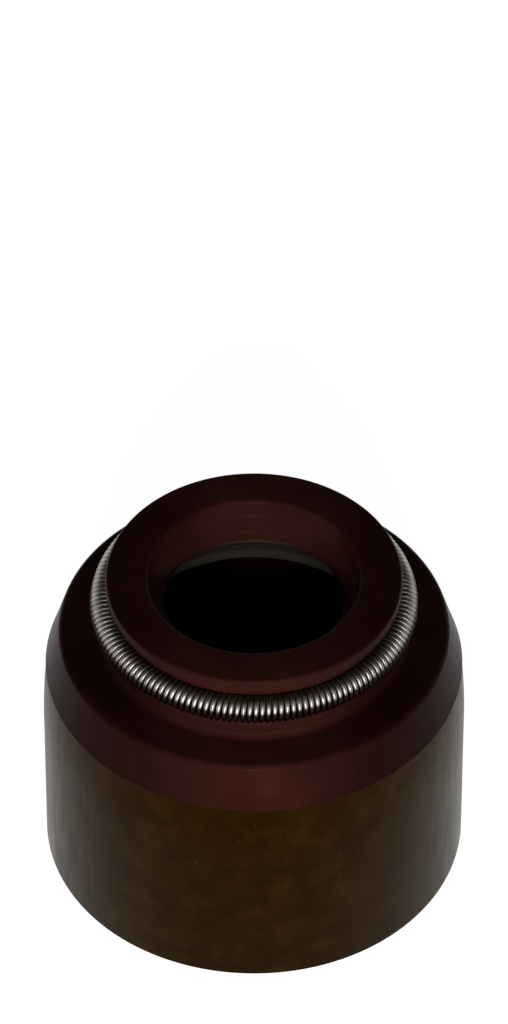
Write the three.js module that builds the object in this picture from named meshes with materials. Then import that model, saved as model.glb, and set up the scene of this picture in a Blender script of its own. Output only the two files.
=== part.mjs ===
// A valve stem seal: a drawn steel case, a rubber seal body moulded onto it, and a garter spring in the
// body's groove. Millimetres, +Z up along the axis. The origin is the centre of the case's open rim, which
// the seal stands on, and the sealing lip is at the top.
import * as THREE from "three";

// What the seal fits: the valve's stem runs through the lip, and the valve guide's end fills the bore.
const stemRadius = 3.0;
const guideWall = 2.25;

// Rubber lining, whose ribs grip the guide.
const boreSqueeze = 0.05;
const ribBite = 0.25;
const ribCount = 3;
const ribBase = 0.9;
const ribCrest = 0.25;
const liningThickness = 0.9;
const liningRecess = 0.25;
const leadInDepth = 0.7;
const leadInWidth = 0.42;

// Steel case: a straight sleeve that draws in a little under the shoulder, bends and ends in a flange.
const caseWall = 0.6;
const rimChamfer = 0.1;
const straightHeight = 5.2;
const drawIn = 0.14;
const bendRadius = 0.75;
const rubberEdge = 0.08;
const flangeCover = 0.3;

// Film of bonding agent between the steel and the rubber.
const bondFilm = 0.02;

// Seal body outside: a coned shoulder over the case's bend, then the neck's foot.
const seatDepth = 7.35;
const stopPad = 0.4;
const stopWidth = 0.92;
const stopBevel = 0.44;
const stopLand = 0.36;
const stopFillet = 0.25;
const shoulderCover = 0.63;
const shoulderConeAngle = 16.7;
const shoulderFillet = 0.2;
const footWidth = 0.6;
const footHeight = 0.655;
const crestRadius = 0.27;
const coveRadius = 0.24;

// Seal body's head: the lip, the groove that holds the spring, and the flange over it.
const lipInterference = 0.15;
const lipWall = 1.35;
const lipLand = 0.3;
const lipDrop = 0.05;
const lipConeAngle = 45;
const mouthWidth = 0.61;
const mouthFillet = 0.15;
const mouthDraft = 15;
const mouthDepth = 0.475;
const headOverhang = 0.46;
const headThickness = 0.45;
const headFillet = 0.1;
const undercutFillet = 0.07;
const headGap = 0.22;

// Garter spring: close-wound wire, bent round into a ring.
const wireRadius = 0.0775;
const coilRadius = 0.465;
const turnGap = 0.013;
const endGap = 0.06;
const seatClearance = 0.03;
const seatWrap = 70;

// Facets: round the seal's axis, along each turn of the spring, and round its wire.
const facets = 48;
const stepsPerTurn = 8;
const wireSides = 4;
const curveSteps = 2;
const edgeSteps = 3;
const bendSteps = 4;
const grooveSteps = 7;
const drawnShares = [0, 0.2, 0.4, 0.7, 1];

// Finishes.
const coatedSteel = { color: 0x4a3a22, roughness: 0.45, metalness: 0.6 };
const sealRubber = { color: 0x3c1c18, roughness: 0.5, metalness: 0 };
const springWire = { color: 0x8c8880, roughness: 0.3, metalness: 1 };

const degrees = Math.PI / 180;

// Radii that follow from the sizes above.
const lipRadius = stemRadius - lipInterference;
const guideRadius = stemRadius + guideWall;
const boreRadius = guideRadius - boreSqueeze;
const ribRadius = guideRadius - ribBite;
const caseInside = boreRadius + liningThickness;
const caseOutside = caseInside + caseWall;
const stopInside = boreRadius - stopWidth;
const flangeInside = stopInside + flangeCover;
const grooveRoot = lipRadius + lipWall;
const seatRadius = coilRadius + seatClearance;
const ringRadius = grooveRoot + seatRadius;
const seatLipRadius = ringRadius - seatRadius * Math.cos(seatWrap * degrees);
const seatHalf = seatRadius * Math.sin(seatWrap * degrees);
const headRadius = grooveRoot + headOverhang;
const mouthRadius = lipRadius + mouthWidth;
const footRadius = grooveRoot + footWidth;

// Heights that follow from them, each above the rim.
const flangeBottom = seatDepth + stopPad;
const flangeTop = flangeBottom + caseWall;
const partingHeight = flangeTop - bendRadius;
const shoulderHeight = flangeTop + shoulderCover;
const grooveHeight = shoulderHeight + footHeight + seatHalf;
const undercutHeight = grooveHeight + seatHalf + headGap;
const topHeight = undercutHeight + headThickness;
const lipHeight = grooveHeight - lipDrop;

const point = (radius, height) => new THREE.Vector2(radius, height);

// Points of an arc from one angle to another, in degrees, both ends included.
function arc(radius, height, size, from, to, steps = curveSteps) {
  return Array.from({ length: steps + 1 }, (_, i) => {
    const angle = (from + ((to - from) * i) / steps) * degrees;
    return point(radius + size * Math.cos(angle), height + size * Math.sin(angle));
  });
}

// How far the case has drawn in at a height, from nothing where its sleeve stops being straight.
function drawnIn(height) {
  const share = (height - straightHeight) / (partingHeight - straightHeight);
  return share > 0 ? drawIn * share * share : 0;
}

// Heights down the drawn-in part of the sleeve, from the parting line to where the sleeve is straight.
const drawnHeights = drawnShares.map(
  (share) => partingHeight + (straightHeight - partingHeight) * share,
);

// The steel surface that the rubber covers, set off outwards by a film: from the parting line over the bend,
// round the flange's edge and down the sleeve's inside.
function bondedSurface(film) {
  const bendCentre = caseOutside - drawIn - rubberEdge - bendRadius;
  const insideBend = Math.max(bendRadius - caseWall, 0) + film;
  const sleeve = caseInside - drawIn;
  return [
    point(bendCentre + bendRadius + film, partingHeight + film),
    ...arc(bendCentre, partingHeight, bendRadius + film, 0, 90, bendSteps).slice(1),
    point(flangeInside - film, flangeTop + film),
    point(flangeInside - film, flangeBottom - film),
    ...arc(sleeve - film - insideBend, flangeBottom - film - insideBend, insideBend, 90, 0),
    ...drawnHeights.slice(1).map((height) => point(caseInside - drawnIn(height) - film, height)),
  ];
}

// A closed outline, turned round the Z axis.
function turned(outline) {
  const lathe = new THREE.LatheGeometry([...outline, outline[0]], facets);
  return lathe.rotateX(Math.PI / 2);
}

function caseOutline() {
  return [
    point(caseOutside - rimChamfer, 0),
    point(caseOutside, rimChamfer),
    ...[...drawnHeights].reverse().map((height) => point(caseOutside - drawnIn(height), height)),
    ...bondedSurface(0),
    point(caseInside, 0),
  ];
}

// The rubber's outside from the parting line up to the groove: cone, shoulder, and the neck's foot.
function shoulderOutline() {
  const slope = Math.tan(shoulderConeAngle * degrees);
  const rise = shoulderHeight - partingHeight - bondFilm;
  const corner = caseOutside - drawIn - rise * slope;
  const filletCentre = corner - shoulderFillet * Math.tan((45 - shoulderConeAngle / 2) * degrees);
  const crestHeight = shoulderHeight + footHeight - crestRadius;
  return [
    point(caseOutside - drawIn, partingHeight + bondFilm),
    ...arc(filletCentre, shoulderHeight - shoulderFillet, shoulderFillet, shoulderConeAngle, 90, edgeSteps),
    ...arc(footRadius + coveRadius, shoulderHeight + coveRadius, coveRadius, 270, 180, edgeSteps),
    ...arc(footRadius - crestRadius, crestHeight, crestRadius, 0, 90, edgeSteps),
  ];
}

// The groove that the spring sits in, and the head above it.
function headOutline() {
  return [
    ...arc(ringRadius, grooveHeight, seatRadius, 180 + seatWrap, 180 - seatWrap, grooveSteps),
    point(seatLipRadius, undercutHeight),
    ...arc(headRadius - undercutFillet, undercutHeight + undercutFillet, undercutFillet, -90, 0),
    ...arc(headRadius - headFillet, topHeight - headFillet, headFillet, 0, 90),
  ];
}

// The mouth, the cone down to the lip, the lip's land and the cone that opens below it.
function lipOutline() {
  const wallTop = mouthRadius - mouthFillet * Math.cos(mouthDraft * degrees);
  const wallFoot = wallTop - mouthDepth * Math.tan(mouthDraft * degrees);
  const coneRise = (wallFoot - lipRadius) / Math.tan(lipConeAngle * degrees);
  const coneTop = Math.min(topHeight - mouthDepth, lipHeight + lipLand + coneRise);
  return [
    ...arc(mouthRadius, topHeight - mouthFillet, mouthFillet, 90, 180 - mouthDraft, edgeSteps),
    point(wallFoot, coneTop),
    point(lipRadius, lipHeight + lipLand),
    point(lipRadius, lipHeight),
    point(stopInside, seatDepth + stopBevel + stopLand),
    point(stopInside, seatDepth + stopBevel),
    point(stopInside + stopBevel, seatDepth),
  ];
}

// The bore from the stop down to the lead-in, with its gripping ribs. The fillet at the stop clears the
// chamfer of the guide's end, and keeps the flat of the stop inside the ribs.
function boreOutline() {
  const leadIn = liningRecess + leadInDepth;
  const pitch = (seatDepth - leadIn) / (ribCount + 1);
  const outline = arc(boreRadius - stopFillet, seatDepth - stopFillet, stopFillet, 90, 0);
  for (let i = 1; i <= ribCount; i++) {
    const height = seatDepth - i * pitch;
    outline.push(
      point(boreRadius, height + ribBase / 2),
      point(ribRadius, height + ribCrest / 2),
      point(ribRadius, height - ribCrest / 2),
      point(boreRadius, height - ribBase / 2),
    );
  }
  outline.push(point(boreRadius, leadIn), point(boreRadius + leadInWidth, liningRecess));
  return outline;
}

function sealOutline() {
  return [
    ...shoulderOutline(),
    ...headOutline(),
    ...lipOutline(),
    ...boreOutline(),
    point(caseInside - bondFilm, liningRecess),
    ...bondedSurface(bondFilm).reverse(),
  ];
}

// The centre line of the spring's wire: a helix whose own axis is a circle. It stops short of where it
// started by a small share of its length, so that the wire's two ends face each other across a gap.
class CoiledRing extends THREE.Curve {
  constructor(ring, coil, turns, height, openShare) {
    super();
    Object.assign(this, { ring, coil, turns, height, openShare });
  }

  // A point at a distance from the ring's own line, on the side where the wire runs there.
  pointAtDistance(t, distance, target) {
    const round = 2 * Math.PI * (1 - this.openShare) * t;
    const turn = round * this.turns;
    const radius = this.ring + distance * Math.cos(turn);
    return target.set(
      radius * Math.cos(round),
      radius * Math.sin(round),
      this.height + distance * Math.sin(turn),
    );
  }

  getPoint(t, target = new THREE.Vector3()) {
    return this.pointAtDistance(t, this.coil, target);
  }

  // The helix runs at an even speed, so its own parameter serves as the arc length.
  getPointAt(u, target) {
    return this.getPoint(u, target);
  }

  // The wire's section is set the same way in every turn: one of its directions points out from the coil.
  computeFrenetFrames(segments) {
    const frames = { tangents: [], normals: [], binormals: [] };
    for (let i = 0; i <= segments; i++) {
      const tangent = this.getTangent(i / segments);
      const outward = this.getPoint(i / segments);
      outward.sub(this.pointAtDistance(i / segments, 0, new THREE.Vector3()));
      const normal = outward.addScaledVector(tangent, -outward.dot(tangent)).normalize();
      frames.tangents.push(tangent);
      frames.normals.push(normal);
      frames.binormals.push(new THREE.Vector3().crossVectors(tangent, normal));
    }
    return frames;
  }
}

function springGeometry() {
  const coil = coilRadius - wireRadius;
  const innerPitch = 2 * wireRadius + turnGap;
  const turns = Math.floor((2 * Math.PI * (ringRadius - coil)) / innerPitch);
  const wireLength = turns * 2 * Math.PI * coil;
  const line = new CoiledRing(ringRadius, coil, turns, grooveHeight, endGap / wireLength);
  const section = new THREE.Shape(arc(0, 0, wireRadius, 0, 360 * (1 - 1 / wireSides), wireSides - 1));
  return new THREE.ExtrudeGeometry(section, { steps: turns * stepsPerTurn, extrudePath: line });
}

function piece(name, geometry, finish) {
  const mesh = new THREE.Mesh(geometry, new THREE.MeshStandardMaterial(finish));
  mesh.name = name;
  return mesh;
}

const seal = new THREE.Group();
seal.add(
  piece("metal_case", turned(caseOutline()), coatedSteel),
  piece("seal_body", turned(sealOutline()), sealRubber),
  piece("garter_spring", springGeometry(), springWire),
);

export default seal;
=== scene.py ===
"""A valve stem seal standing on a pale floor: coated steel sleeve, moulded rubber body, garter spring."""
import math

import bpy
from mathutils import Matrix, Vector


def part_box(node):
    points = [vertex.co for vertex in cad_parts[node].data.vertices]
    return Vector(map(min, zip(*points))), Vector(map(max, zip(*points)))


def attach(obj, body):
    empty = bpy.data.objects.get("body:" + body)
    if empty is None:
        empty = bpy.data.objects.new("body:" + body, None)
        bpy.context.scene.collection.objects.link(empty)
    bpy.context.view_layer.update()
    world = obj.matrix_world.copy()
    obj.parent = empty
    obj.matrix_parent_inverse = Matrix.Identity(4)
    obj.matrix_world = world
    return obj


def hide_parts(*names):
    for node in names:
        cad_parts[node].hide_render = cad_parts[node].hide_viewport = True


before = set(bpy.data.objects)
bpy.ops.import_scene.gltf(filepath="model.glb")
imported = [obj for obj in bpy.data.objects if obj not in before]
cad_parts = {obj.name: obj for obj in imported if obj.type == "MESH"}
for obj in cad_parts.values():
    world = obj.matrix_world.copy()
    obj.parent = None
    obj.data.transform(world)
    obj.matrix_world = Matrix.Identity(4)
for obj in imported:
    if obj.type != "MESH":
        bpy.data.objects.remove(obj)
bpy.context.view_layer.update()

MM = 0.001
TAU = 2 * math.pi

# Fineness of the round surfaces, the most of an edge that a corner takes, and the smooth angles in degrees.
SEGMENTS = 360
ARC_STEP = 8
CORNER_STEPS = 3
SLEEVE_STEPS = 14
SPRING_STEPS = 20
WIRE_SIDES = 9
EDGE_SHARE = 0.45
TURNED_SMOOTH = 35
WIRE_SMOOTH = 60
STUDIO_SMOOTH = 30

# The camera: where it stands, what it looks at, and where that falls in the image.
IMAGE_HEIGHT = 1024
IMAGE_CENTRE_Y = 512
TARGET_Y = 700.86
ELEVATION = 45.96
DISTANCE = 250.1
TARGET_HEIGHT = 5.6
PIXELS_PER_MM = 31.386
SENSOR = 36

# The studio: sizes in millimetres, brightness, and the elevations between which the band of light fades.
STUDIO_RADIUS = 600
BACKDROP_HEIGHT = 120
# A disc this wide under the seal gets no glow: painted shade under the seal, so that the bore looks dark.
UNLIT_RADIUS = 6.4
UNLIT_EDGE = 0.1
MATT_WHITE = 0.8
GLOW = 0.92
BAND_LIGHT = 0.3
BAND_END = 25
OVERHEAD_LIGHT = 0.02
OVERHEAD_START = 40

# The two lamps, in degrees, millimetres and watts.
STRIP_ELEVATION = 20
STRIP_DISTANCE = 500
STRIP_WIDTH = 150
STRIP_HEIGHT = 230
STRIP_POWER = 1.1
SPOT_ELEVATION = 15
SPOT_DISTANCE = 400
SPOT_CONE = 1.2
SPOT_POWER = 6
SPOT_RADIUS = 1
SPOT_AIM = 8.2
SPOT_STRETCH = 1.8

# Sizes that the frame gives, in millimetres.
case_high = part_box("metal_case")[1] / MM
seal_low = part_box("seal_body")[0] / MM
seal_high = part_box("seal_body")[1] / MM
spring_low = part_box("garter_spring")[0] / MM
spring_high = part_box("garter_spring")[1] / MM
CASE_OUTSIDE = case_high.x
FLANGE_TOP = case_high.z
LINING_FOOT = seal_low.z
HEAD_TOP = seal_high.z
PARTING_RADIUS = seal_high.x
GROOVE_HEIGHT = (spring_low.z + spring_high.z) / 2
COIL_RADIUS = (spring_high.z - spring_low.z) / 2

# Steel sleeve, in millimetres.
CASE_WALL = 0.6
STRAIGHT_HEIGHT = 5.2
BEND_RADIUS = 0.75
RUBBER_EDGE = 0.08
FLANGE_INSIDE = 4.58
RIM_ROUND = 0.1
RIM_INNER_ROUND = 0.07
CASE_INSIDE = CASE_OUTSIDE - CASE_WALL
DRAW_IN = CASE_OUTSIDE - PARTING_RADIUS
PARTING_HEIGHT = FLANGE_TOP - BEND_RADIUS
FLANGE_BOTTOM = FLANGE_TOP - CASE_WALL

# Rubber body, in millimetres.
FILM = 0.02
FLASH_DROP = 0.13
FLASH_THICKNESS = 0.028
FLASH_RAGGED = 0.03
FLASH_BLEND = 0.16
FLASH_ROOT = 0.003
SHOULDER_HEIGHT = 8.98
SHOULDER_CONE = 16.7
SHOULDER_FILLET = 0.2
FOOT_RADIUS = 4.8
FOOT_TOP = 9.635
CREST_RADIUS = 0.27
COVE_RADIUS = 0.24
HEAD_RADIUS = 4.66
HEAD_THICKNESS = 0.45
HEAD_FILLET = 0.1
UNDERCUT_FILLET = 0.07
MOUTH_RADIUS = 3.46
MOUTH_FILLET = 0.15
MOUTH_DRAFT = 15
MOUTH_FOOT = (3.19, 10.69)
LIP_RADIUS = 2.85
LIP_TOP = 10.35
LIP_BOTTOM = 10.05
LIP_EDGE = 0.03
STOP_INSIDE = 4.28
STOP_TOP = 8.15
STOP_BOTTOM = 7.79
STOP_FILLET = 0.25
SEAT_DEPTH = 7.35
BORE_RADIUS = 5.2
RIB_RADIUS = 5.0
RIB_COUNT = 3
RIB_BASE = 0.9
RIB_CREST = 0.25
LEAD_IN = 0.7
LEAD_IN_WIDTH = 0.42
BORE_CORNER = 0.08

# Sockets of the colours that a mix node takes and gives.
MIX_FIRST = 6
MIX_SECOND = 7
MIX_RESULT = 2

# Painted highlight inside the bore: pale colour, strongest on the stop's edge, fading up to the lip.
BORE_PAINTED_HIGHLIGHT = (0.125, 0.11, 0.095)
HIGHLIGHT_FADE_START = STOP_TOP
HIGHLIGHT_GONE = LIP_BOTTOM

# Garter spring, in millimetres.
# Painted shade on the wire: this dark colour covers the coil's underside and most of its top.
WIRE_PAINTED_SHADE = (0.02, 0.011, 0.008)
WIRE_RADIUS = 0.0775
TURNS = 161
END_GAP = 0.06
SEAT_CLEARANCE = 0.03
SEAT_WRAP = 70
RING_RADIUS = spring_high.x - COIL_RADIUS
SEAT_RADIUS = COIL_RADIUS + SEAT_CLEARANCE
# Heights where the wire's painted shade ends below and starts again on top; on top a share of the bright
# wire shows through.
SHADE_UNDER_END = GROOVE_HEIGHT + 0.12
WIRE_LIT_START = GROOVE_HEIGHT + 0.28
WIRE_LIT_END = GROOVE_HEIGHT + 0.35
SHADE_ON_TOP_START = GROOVE_HEIGHT + 0.46
LIT_SHARE_ON_TOP = 0.2


def arc(radius, height, size, start, end):
    """Points of an arc in the outline's plane, from one angle in degrees to another."""
    steps = max(2, round(abs(end - start) / ARC_STEP))
    angles = [math.radians(start + (end - start) * i / steps) for i in range(steps + 1)]
    return [(radius + size * math.cos(a), height + size * math.sin(a)) for a in angles]


def rounded(points, size):
    """The same open outline with each corner between its ends eased by a short curve."""
    eased = [points[0]]
    for before, corner, after in zip(points, points[1:], points[2:]):
        before, corner, after = Vector(before), Vector(corner), Vector(after)
        to_before = before - corner
        to_after = after - corner
        start = corner + to_before * min(size / to_before.length, EDGE_SHARE)
        end = corner + to_after * min(size / to_after.length, EDGE_SHARE)
        for i in range(CORNER_STEPS + 1):
            t = i / CORNER_STEPS
            eased.append(tuple(start * (1 - t) ** 2 + corner * 2 * t * (1 - t) + end * t ** 2))
    eased.append(points[-1])
    return eased


def drawn_in(height):
    """How far the sleeve has drawn in at a height."""
    share = (height - STRAIGHT_HEIGHT) / (PARTING_HEIGHT - STRAIGHT_HEIGHT)
    return DRAW_IN * share * share if share > 0 else 0


def ripple(angle):
    """An uneven line round the seal, between about -1 and 1, the same on each run."""
    waves = ((3, 0.4, 0.24), (7, 1.9, 0.2), (17, 0.7, 0.2), (41, 2.3, 0.18), (89, 5.1, 0.18))
    return sum(share * math.sin(count * angle + phase) for count, phase, share in waves)


def bonded_surface(film):
    """The steel that the rubber covers, set off outwards by a film, from the parting line to the sleeve."""
    bend_centre = CASE_OUTSIDE - DRAW_IN - RUBBER_EDGE - BEND_RADIUS
    inside_bend = max(BEND_RADIUS - CASE_WALL, 0) + film
    inside = CASE_INSIDE - DRAW_IN - film
    low = FLANGE_BOTTOM - film - inside_bend
    points = arc(bend_centre, PARTING_HEIGHT, BEND_RADIUS + film, 0, 90)
    points += [(FLANGE_INSIDE - film, FLANGE_TOP + film), (FLANGE_INSIDE - film, FLANGE_BOTTOM - film)]
    points += arc(inside - inside_bend, low, inside_bend, 90, 0)
    for i in range(1, SLEEVE_STEPS + 1):
        height = low + (STRAIGHT_HEIGHT - low) * i / SLEEVE_STEPS
        points.append((CASE_INSIDE - drawn_in(height) - film, height))
    return points


def case_outline():
    """The steel sleeve's closed outline."""
    points = arc(CASE_OUTSIDE - RIM_ROUND, RIM_ROUND, RIM_ROUND, -90, 0)
    for i in range(SLEEVE_STEPS + 1):
        height = STRAIGHT_HEIGHT + (PARTING_HEIGHT - STRAIGHT_HEIGHT) * i / SLEEVE_STEPS
        points.append((CASE_OUTSIDE - drawn_in(height), height))
    points += bonded_surface(0)
    points += arc(CASE_INSIDE + RIM_INNER_ROUND, RIM_INNER_ROUND, RIM_INNER_ROUND, 180, 270)
    return points


def flash_outline(angle):
    """The rubber's thin uneven edge, which laps a little way down over the steel."""
    edge = PARTING_HEIGHT - FLASH_DROP + FLASH_RAGGED * ripple(angle)
    steel = CASE_OUTSIDE - drawn_in(edge)
    lap = steel + FLASH_THICKNESS
    return [
        (PARTING_RADIUS - RUBBER_EDGE + FILM, PARTING_HEIGHT + FILM),
        (PARTING_RADIUS + FLASH_ROOT, PARTING_HEIGHT),
        (steel + FLASH_ROOT, edge),
        (lap - FLASH_THICKNESS / 3, edge + FLASH_THICKNESS / 3),
        (lap, edge + FLASH_THICKNESS),
    ]


def shoulder_outline():
    """The cone over the sleeve's bend, the flat shoulder and the neck's foot."""
    slope = math.tan(math.radians(SHOULDER_CONE))
    corner = PARTING_RADIUS - (SHOULDER_HEIGHT - PARTING_HEIGHT) * slope
    centre = corner - SHOULDER_FILLET * math.tan(math.radians(45 - SHOULDER_CONE / 2))
    start = PARTING_HEIGHT + FLASH_BLEND
    points = [(PARTING_RADIUS - FLASH_BLEND * slope, start)]
    points += arc(centre, SHOULDER_HEIGHT - SHOULDER_FILLET, SHOULDER_FILLET, SHOULDER_CONE, 90)
    points += arc(FOOT_RADIUS + COVE_RADIUS, SHOULDER_HEIGHT + COVE_RADIUS, COVE_RADIUS, 270, 180)
    points += arc(FOOT_RADIUS - CREST_RADIUS, FOOT_TOP - CREST_RADIUS, CREST_RADIUS, 0, 90)
    return points


def head_outline():
    """The groove that holds the spring and the head above it."""
    undercut = HEAD_TOP - HEAD_THICKNESS
    seat_lip = RING_RADIUS - SEAT_RADIUS * math.cos(math.radians(SEAT_WRAP))
    points = arc(RING_RADIUS, GROOVE_HEIGHT, SEAT_RADIUS, 180 + SEAT_WRAP, 180 - SEAT_WRAP)
    points.append((seat_lip, undercut))
    points += arc(HEAD_RADIUS - UNDERCUT_FILLET, undercut + UNDERCUT_FILLET, UNDERCUT_FILLET, -90, 0)
    points += arc(HEAD_RADIUS - HEAD_FILLET, HEAD_TOP - HEAD_FILLET, HEAD_FILLET, 0, 90)
    return points


def mouth_outline():
    """The mouth, the cone down to the lip, the lip's land and the cone below it, down to the stop."""
    points = arc(MOUTH_RADIUS, HEAD_TOP - MOUTH_FILLET, MOUTH_FILLET, 90, 180 - MOUTH_DRAFT)
    corners = [
        points[-1],
        MOUTH_FOOT,
        (LIP_RADIUS, LIP_TOP),
        (LIP_RADIUS, LIP_BOTTOM),
        (STOP_INSIDE, STOP_TOP),
        (STOP_INSIDE, STOP_BOTTOM),
        (STOP_INSIDE + STOP_BOTTOM - SEAT_DEPTH, SEAT_DEPTH),
        (BORE_RADIUS - STOP_FILLET, SEAT_DEPTH),
    ]
    return points + rounded(corners, LIP_EDGE)[1:]


def bore_outline():
    """The lining from the stop's fillet down, with its ribs, to the lead-in at its foot."""
    fillet = arc(BORE_RADIUS - STOP_FILLET, SEAT_DEPTH - STOP_FILLET, STOP_FILLET, 90, 0)[1:]
    lead_in = LINING_FOOT + LEAD_IN
    pitch = (SEAT_DEPTH - lead_in) / (RIB_COUNT + 1)
    corners = [fillet[-1]]
    for i in range(1, RIB_COUNT + 1):
        height = SEAT_DEPTH - i * pitch
        corners += [
            (BORE_RADIUS, height + RIB_BASE / 2),
            (RIB_RADIUS, height + RIB_CREST / 2),
            (RIB_RADIUS, height - RIB_CREST / 2),
            (BORE_RADIUS, height - RIB_BASE / 2),
        ]
    corners += [
        (BORE_RADIUS, lead_in),
        (BORE_RADIUS + LEAD_IN_WIDTH, LINING_FOOT),
        (CASE_INSIDE - FILM, LINING_FOOT),
    ]
    return fillet + rounded(corners, BORE_CORNER)[1:]


def mesh_piece(name, vertices, faces, material, smooth_angle):
    """A mesh object in metres from vertices in millimetres, shaded smooth up to an angle."""
    mesh = bpy.data.meshes.new(name)
    mesh.from_pydata([tuple(c * MM for c in v) for v in vertices], [], faces)
    mesh.shade_smooth()
    mesh.set_sharp_from_angle(angle=math.radians(smooth_angle))
    mesh.materials.append(material)
    piece = bpy.data.objects.new(name, mesh)
    bpy.context.scene.collection.objects.link(piece)
    return piece


def turned(name, outline_at, material):
    """A closed outline turned round the Z axis. The outline may differ a little from angle to angle."""
    vertices = []
    for i in range(SEGMENTS):
        angle = TAU * i / SEGMENTS
        outline = outline_at(angle)
        vertices += [(r * math.cos(angle), r * math.sin(angle), z) for r, z in outline]
    count = len(outline)
    faces = []
    for i in range(SEGMENTS):
        here = i * count
        there = (i + 1) % SEGMENTS * count
        for j in range(count):
            k = (j + 1) % count
            faces.append((here + j, there + j, there + k, here + k))
    return mesh_piece(name, vertices, faces, material, TURNED_SMOOTH)


def spring_piece(name, material):
    """Close-wound wire bent into a ring. Its two ends face each other across a small gap."""
    coil = COIL_RADIUS - WIRE_RADIUS
    share = 1 - END_GAP / (TURNS * TAU * coil)
    steps = TURNS * SPRING_STEPS
    near = 0.1 / steps

    def wire_point(t, distance):
        around = TAU * share * t
        turn = around * TURNS
        radius = RING_RADIUS + distance * math.cos(turn)
        height = GROOVE_HEIGHT + distance * math.sin(turn)
        return Vector((radius * math.cos(around), radius * math.sin(around), height))

    vertices = []
    for i in range(steps + 1):
        t = i / steps
        centre = wire_point(t, coil)
        along = (wire_point(t + near, coil) - wire_point(t - near, coil)).normalized()
        outward = centre - wire_point(t, 0)
        outward = (outward - along * outward.dot(along)).normalized()
        aside = along.cross(outward)
        for j in range(WIRE_SIDES):
            angle = TAU * j / WIRE_SIDES
            vertices.append(centre + (outward * math.cos(angle) + aside * math.sin(angle)) * WIRE_RADIUS)
    faces = [tuple(reversed(range(WIRE_SIDES)))]
    for i in range(steps):
        for j in range(WIRE_SIDES):
            k = (j + 1) % WIRE_SIDES
            here = i * WIRE_SIDES
            there = here + WIRE_SIDES
            faces.append((here + j, here + k, there + k, there + j))
    faces.append(tuple(steps * WIRE_SIDES + j for j in range(WIRE_SIDES)))
    return mesh_piece(name, vertices, faces, material, WIRE_SMOOTH)


def add_node(tree, kind, settings=None, **inputs):
    """A shader node with its settings and with the unlinked inputs given by name."""
    node = tree.nodes.new(kind)
    for key, value in (settings or {}).items():
        setattr(node, key, value)
    for key, value in inputs.items():
        node.inputs[key.replace("_", " ")].default_value = value
    return node


def noise(tree, size, stretch=(1, 1, 1), detail=3, distortion=0):
    """Noise whose grains are about so many millimetres across, stretched along the axes."""
    place = add_node(tree, "ShaderNodeTexCoord")
    scale = add_node(tree, "ShaderNodeMapping", Scale=[1 / s for s in stretch])
    grain = add_node(tree, "ShaderNodeTexNoise", Scale=1 / (size * MM), Detail=detail, Distortion=distortion)
    tree.links.new(place.outputs["Object"], scale.inputs["Vector"])
    tree.links.new(scale.outputs["Vector"], grain.inputs["Vector"])
    return grain.outputs["Fac"]


def height_and_radius(tree):
    """The height of a point and its distance from the seal's axis."""
    place = tree.nodes.new("ShaderNodeTexCoord")
    parts = tree.nodes.new("ShaderNodeSeparateXYZ")
    level = add_node(tree, "ShaderNodeVectorMath", {"operation": "MULTIPLY"})
    level.inputs[1].default_value = (1, 1, 0)
    radius = add_node(tree, "ShaderNodeVectorMath", {"operation": "LENGTH"})
    tree.links.new(place.outputs["Object"], parts.inputs[0])
    tree.links.new(place.outputs["Object"], level.inputs[0])
    tree.links.new(level.outputs[0], radius.inputs[0])
    return parts.outputs["Z"], radius.outputs["Value"]


def largest(tree, factors):
    """The largest of several factors."""
    total = factors[0]
    for factor in factors[1:]:
        node = add_node(tree, "ShaderNodeMath", {"operation": "MAXIMUM"})
        tree.links.new(total, node.inputs[0])
        tree.links.new(factor, node.inputs[1])
        total = node.outputs[0]
    return total


def blended(tree, factor, colour, link):
    """A plain colour that gives way to a linked one as the factor rises to 1."""
    node = add_node(tree, "ShaderNodeMix", {"data_type": "RGBA"})
    node.inputs[MIX_FIRST].default_value = (*colour, 1)
    tree.links.new(factor, node.inputs["Factor"])
    tree.links.new(link, node.inputs[MIX_SECOND])
    return node.outputs[MIX_RESULT]


def ramp(tree, factor, stops):
    """A colour that follows a factor through stops of (place, colour)."""
    node = tree.nodes.new("ShaderNodeValToRGB")
    elements = node.color_ramp.elements
    while len(elements) < len(stops):
        elements.new(0.5)
    for element, (place, colour) in zip(elements, stops):
        element.position = place
        element.color = (*colour, 1)
    tree.links.new(factor, node.inputs["Fac"])
    return node.outputs["Color"]


def spread(tree, factor, low, high, start=0.3, end=0.7):
    """A number that goes from low to high as a factor goes from start to end."""
    node = tree.nodes.new("ShaderNodeMapRange")
    for key, value in (("From Min", start), ("From Max", end), ("To Min", low), ("To Max", high)):
        node.inputs[key].default_value = value
    tree.links.new(factor, node.inputs["Value"])
    return node.outputs["Result"]


def bump(tree, height, depth, below=None):
    """A bump of so many millimetres, on top of another bump's normal if one is given."""
    node = add_node(tree, "ShaderNodeBump", Distance=depth * MM, Strength=1)
    tree.links.new(height, node.inputs["Height"])
    if below:
        tree.links.new(below, node.inputs["Normal"])
    return node.outputs["Normal"]


def surface(name, **sockets):
    """A new material, its tree and its main shader, with sockets set by name."""
    material = bpy.data.materials.new(name)
    material.use_nodes = True
    shader = material.node_tree.nodes["Principled BSDF"]
    for key, value in sockets.items():
        shader.inputs[key.replace("_", " ")].default_value = value
    return material, material.node_tree, shader


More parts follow.
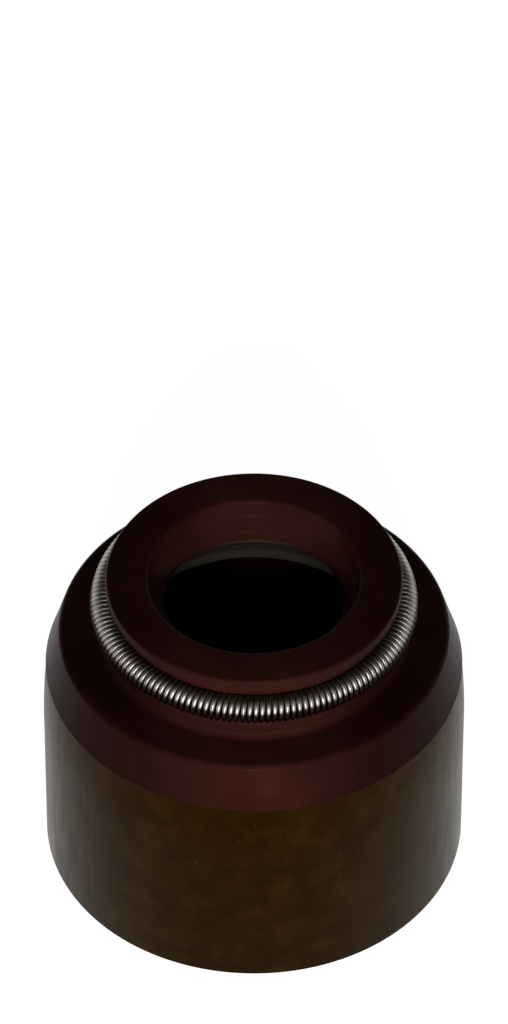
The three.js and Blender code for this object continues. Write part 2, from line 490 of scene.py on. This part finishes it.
def coated_steel():
    """Steel under a thin olive-brown bonding coat: mottled, lightly scuffed, with a few pale specks."""
    material, tree, shader = surface("coated_steel", Metallic=1, Specular_Tint=(0.72, 0.72, 0.7, 1))
    mottle = noise(tree, 0.9, detail=5, distortion=0.4)
    colour = ramp(
        tree,
        mottle,
        ((0.32, (0.0155, 0.0055, 0.0002)), (0.52, (0.0205, 0.0078, 0.0003)), (0.7, (0.027, 0.0118, 0.0012))),
    )
    plain = spread(tree, noise(tree, 0.11, detail=1), 1, 0.7, 0.74, 0.8)
    tree.links.new(blended(tree, plain, (0.12, 0.1, 0.075), colour), shader.inputs["Base Color"])
    scuffs = noise(tree, 0.22, stretch=(1, 1, 7), detail=4)
    tree.links.new(spread(tree, scuffs, 0.3, 0.4), shader.inputs["Roughness"])
    grain = bump(tree, noise(tree, 0.07, detail=3), 0.0025)
    tree.links.new(bump(tree, scuffs, 0.0015, grain), shader.inputs["Normal"])
    return material


def seal_rubber():
    """Dark red-brown moulded rubber with a fine dull skin."""
    sheen = (0.3, 0.15, 0.12, 1)
    material, tree, shader = surface("seal_rubber", Specular_IOR_Level=0.037, Specular_Tint=sheen)
    clouds = noise(tree, 1.6, detail=5)
    colour = ramp(
        tree,
        clouds,
        ((0.3, (0.02, 0.005, 0.004)), (0.55, (0.0245, 0.0065, 0.005)), (0.75, (0.031, 0.0095, 0.0075))),
    )
    height, radius = height_and_radius(tree)
    # Painted highlight: pale colour on the stop's inner edge, fading up the cone under the lip.
    outside = spread(tree, radius, 0, 1, STOP_INSIDE * MM, (STOP_INSIDE + FILM) * MM)
    above = spread(tree, height, 0, 1, HIGHLIGHT_FADE_START * MM, HIGHLIGHT_GONE * MM)
    below = spread(tree, height, 1, 0, (STOP_BOTTOM - FILM) * MM, STOP_BOTTOM * MM)
    unhighlighted = largest(tree, (above, below, outside))
    tree.links.new(blended(tree, unhighlighted, BORE_PAINTED_HIGHLIGHT, colour), shader.inputs["Base Color"])
    skin = noise(tree, 0.12, detail=4)
    tree.links.new(spread(tree, skin, 0.3, 0.44), shader.inputs["Roughness"])
    grain = bump(tree, skin, 0.003)
    lines = noise(tree, 0.25, stretch=(6, 6, 0.6), detail=2)
    tree.links.new(bump(tree, lines, 0.004, grain), shader.inputs["Normal"])
    return material


def spring_wire():
    """Bright drawn wire, a little tarnished, with painted shade: dark under the coil and mostly dark on its
    top, leaving a bright band between.
    """
    material, tree, shader = surface("spring_wire", Metallic=1)
    tarnish = noise(tree, 0.5, detail=4)
    bright = ramp(tree, tarnish, ((0.35, (0.34, 0.315, 0.285)), (0.65, (0.46, 0.43, 0.39))))
    height = height_and_radius(tree)[0]
    # Painted shade: dark under the coil and mostly dark on top, so that only a band of the wire shines.
    below = spread(tree, height, 0, 1, SHADE_UNDER_END * MM, WIRE_LIT_START * MM)
    above = spread(tree, height, 1, LIT_SHARE_ON_TOP, WIRE_LIT_END * MM, SHADE_ON_TOP_START * MM)
    colour = blended(tree, above, WIRE_PAINTED_SHADE, blended(tree, below, WIRE_PAINTED_SHADE, bright))
    tree.links.new(colour, shader.inputs["Base Color"])
    tree.links.new(spread(tree, noise(tree, 0.1), 0.38, 0.48), shader.inputs["Roughness"])
    tree.links.new(bump(tree, noise(tree, 0.03), 0.0008), shader.inputs["Normal"])
    return material


def seen_directly(tree):
    """1 for rays that see a thing straight, mirrored or through glass, and 0 for the light it sheds."""
    path = tree.nodes.new("ShaderNodeLightPath")
    names = ("Is Camera Ray", "Is Glossy Ray", "Is Transmission Ray")
    return largest(tree, [path.outputs[name] for name in names])


def glowing_white(name, unlit_radius=0):
    """Matt white that also looks lit from behind, apart from a disc round the middle that is kept dark as
    painted shade, and sheds no light.
    """
    material = bpy.data.materials.new(name)
    material.use_nodes = True
    tree = material.node_tree
    tree.nodes.remove(tree.nodes["Principled BSDF"])
    matt = add_node(tree, "ShaderNodeBsdfDiffuse", Color=(MATT_WHITE, MATT_WHITE, MATT_WHITE, 1))
    glow = add_node(tree, "ShaderNodeEmission", Color=(1, 1, 1, 1))
    both = tree.nodes.new("ShaderNodeAddShader")
    place = tree.nodes.new("ShaderNodeTexCoord")
    radius = add_node(tree, "ShaderNodeVectorMath", {"operation": "LENGTH"})
    tree.links.new(place.outputs["Object"], radius.inputs[0])
    edge = unlit_radius * MM
    beyond = spread(tree, radius.outputs["Value"], 0, GLOW, edge, edge + UNLIT_EDGE * MM)
    strength = add_node(tree, "ShaderNodeMath", {"operation": "MULTIPLY"})
    tree.links.new(beyond, strength.inputs[0])
    tree.links.new(seen_directly(tree), strength.inputs[1])
    tree.links.new(strength.outputs[0], glow.inputs["Strength"])
    tree.links.new(matt.outputs[0], both.inputs[0])
    tree.links.new(glow.outputs[0], both.inputs[1])
    tree.links.new(both.outputs[0], tree.nodes["Material Output"].inputs["Surface"])
    return material


def studio_ring(height):
    """The studio's rim at a height, as a ring of points."""
    angles = [TAU * i / SEGMENTS for i in range(SEGMENTS)]
    return [(STUDIO_RADIUS * math.cos(a), STUDIO_RADIUS * math.sin(a), height) for a in angles]


def make_floor():
    """A round white floor under the seal."""
    white = glowing_white("floor_white", UNLIT_RADIUS)
    mesh_piece("studio_floor", studio_ring(0), [range(SEGMENTS)], white, STUDIO_SMOOTH)


def make_backdrop():
    """A low white wall round the floor."""
    rings = studio_ring(0) + studio_ring(BACKDROP_HEIGHT)
    faces = []
    for i in range(SEGMENTS):
        k = (i + 1) % SEGMENTS
        faces.append((i, k, k + SEGMENTS, i + SEGMENTS))
    mesh_piece("studio_backdrop", rings, faces, glowing_white("backdrop_white"), STUDIO_SMOOTH)


def make_world():
    """A soft band of light above the backdrop, and little light from overhead."""
    world = bpy.data.worlds.new("studio")
    bpy.context.scene.world = world
    world.use_nodes = True
    tree = world.node_tree
    direction = tree.nodes.new("ShaderNodeTexCoord")
    parts = tree.nodes.new("ShaderNodeSeparateXYZ")
    tree.links.new(direction.outputs["Generated"], parts.inputs[0])
    low = math.sin(math.radians(BAND_END))
    high = math.sin(math.radians(OVERHEAD_START))
    light = spread(tree, parts.outputs["Z"], BAND_LIGHT, OVERHEAD_LIGHT, low, high)
    tree.links.new(light, tree.nodes["Background"].inputs["Strength"])
    tree.nodes["Background"].inputs["Color"].default_value = (1, 1, 1, 1)


def direction_of(azimuth, elevation):
    around = math.radians(azimuth)
    up = math.radians(elevation)
    return Vector((math.sin(around) * math.cos(up), -math.cos(around) * math.cos(up), math.sin(up)))


def place_lamp(lamp, power, aim_height, elevation, distance):
    """Puts a lamp in front of the seal, aimed at a height on its axis."""
    lamp.energy = power
    holder = bpy.data.objects.new(lamp.name, lamp)
    away = direction_of(0, elevation)
    holder.location = (Vector((0, 0, aim_height)) + away * distance) * MM
    holder.rotation_euler = away.to_track_quat("Z", "Y").to_euler()
    bpy.context.scene.collection.objects.link(holder)
    return holder


def make_strip():
    """A soft strip lamp."""
    lamp = bpy.data.lights.new("strip_front", "AREA")
    lamp.shape = "RECTANGLE"
    lamp.size = STRIP_WIDTH * MM
    lamp.size_y = STRIP_HEIGHT * MM
    place_lamp(lamp, STRIP_POWER, TARGET_HEIGHT, STRIP_ELEVATION, STRIP_DISTANCE)


def make_spot():
    """A narrow spot lamp that warms the middle of the rubber's front."""
    lamp = bpy.data.lights.new("spot_front", "SPOT")
    lamp.spot_size = math.radians(SPOT_CONE)
    lamp.spot_blend = 1
    lamp.shadow_soft_size = SPOT_RADIUS * MM
    holder = place_lamp(lamp, SPOT_POWER, SPOT_AIM, SPOT_ELEVATION, SPOT_DISTANCE)
    holder.scale.y = SPOT_STRETCH


def make_camera():
    """A long lens that looks down on the seal, shifted so that the seal sits low in the image."""
    camera = bpy.data.cameras.new("camera")
    camera.sensor_width = SENSOR
    camera.lens = PIXELS_PER_MM * DISTANCE / IMAGE_HEIGHT * SENSOR
    camera.shift_y = (TARGET_Y - IMAGE_CENTRE_Y) / IMAGE_HEIGHT
    camera.clip_start = 0.01
    camera.clip_end = 10
    holder = bpy.data.objects.new("camera", camera)
    back = direction_of(0, ELEVATION)
    holder.location = (Vector((0, 0, TARGET_HEIGHT)) + back * DISTANCE) * MM
    holder.rotation_euler = (-back).to_track_quat("-Z", "Y").to_euler()
    bpy.context.scene.collection.objects.link(holder)
    bpy.context.scene.camera = holder


def sleeve_outline_at(angle):
    """The sleeve has the same outline all round."""
    return case_outline()


def body_outline_at(angle):
    """The rubber's outline, whose lower edge wanders as the angle goes round."""
    fixed = shoulder_outline() + head_outline() + mouth_outline() + bore_outline()
    return flash_outline(angle) + fixed + list(reversed(bonded_surface(FILM)))


def dress(piece, node):
    """The piece rides on the seal's body and stands in for a CAD node, which is hidden."""
    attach(piece, "root")
    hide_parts(node)


make_camera()
dress(turned("steel_sleeve", sleeve_outline_at, coated_steel()), "metal_case")
dress(turned("rubber_body", body_outline_at, seal_rubber()), "seal_body")
dress(spring_piece("wire_spring", spring_wire()), "garter_spring")
make_floor()
make_backdrop()
make_world()
make_strip()
make_spot()
bpy.context.scene.view_settings.view_transform = "Standard"
